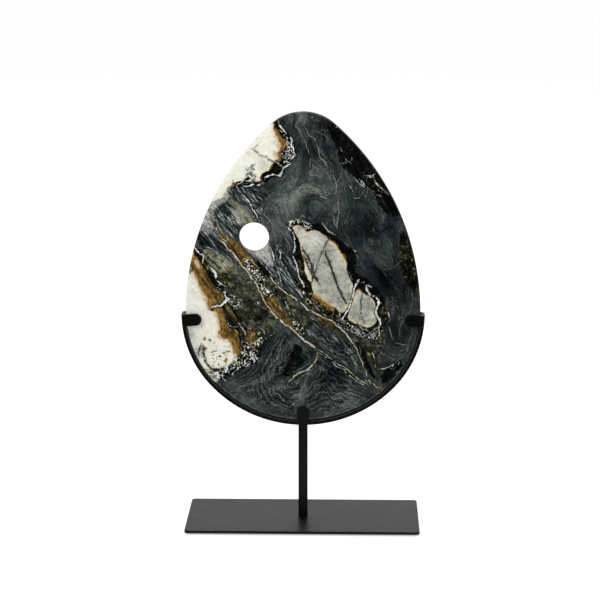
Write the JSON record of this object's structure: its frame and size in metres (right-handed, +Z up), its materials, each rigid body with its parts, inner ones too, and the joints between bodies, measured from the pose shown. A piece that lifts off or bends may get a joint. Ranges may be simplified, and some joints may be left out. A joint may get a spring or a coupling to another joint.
{
  "type": "decorative egg on stand",
  "caption": "Flat egg-shaped slab of polished veined stone with a round hole through it, resting in a black steel cradle with prongs, on a square post and a rectangular base plate.",
  "frame": {"origin": "on the floor, under the middle of the base plate", "axes": "+Z up; +Y from the viewer's side to the back, along the thickness of the stone; +X to the viewer's right, along the width"},
  "size_m": [0.25, 0.118, 0.428],
  "materials": {
    "veined_stone": "polished",
    "black_steel": "satin",
    "soft_pad": "matte",
    "screw_steel": "satin",
    "foot_rubber": "matte"
  },
  "bodies": {
    "stand": {"cradle_band": "black_steel", "front_left_prong": "black_steel", "front_right_prong": "black_steel", "front_bottom_prong": "black_steel", "rear_left_prong": "black_steel", "rear_right_prong": "black_steel", "rear_bottom_prong": "black_steel", "front_left_pad": "soft_pad", "front_right_pad": "soft_pad", "front_bottom_pad": "soft_pad", "rear_left_pad": "soft_pad", "rear_right_pad": "soft_pad", "rear_bottom_pad": "soft_pad", "cradle_liner": "soft_pad", "post": "black_steel", "base_plate": "black_steel", "cradle_screw": "screw_steel", "base_screw": "screw_steel", "front_left_foot": "foot_rubber", "front_right_foot": "foot_rubber", "rear_left_foot": "foot_rubber", "rear_right_foot": "foot_rubber"},
    "egg": {"egg_slab": "veined_stone"}
  },
  "joints": [
    {"name": "egg_lift", "type": "slide", "parent": "stand", "child": "egg", "axis": [0, 0, 1], "range_m": [0, 0.12]}
  ]
}
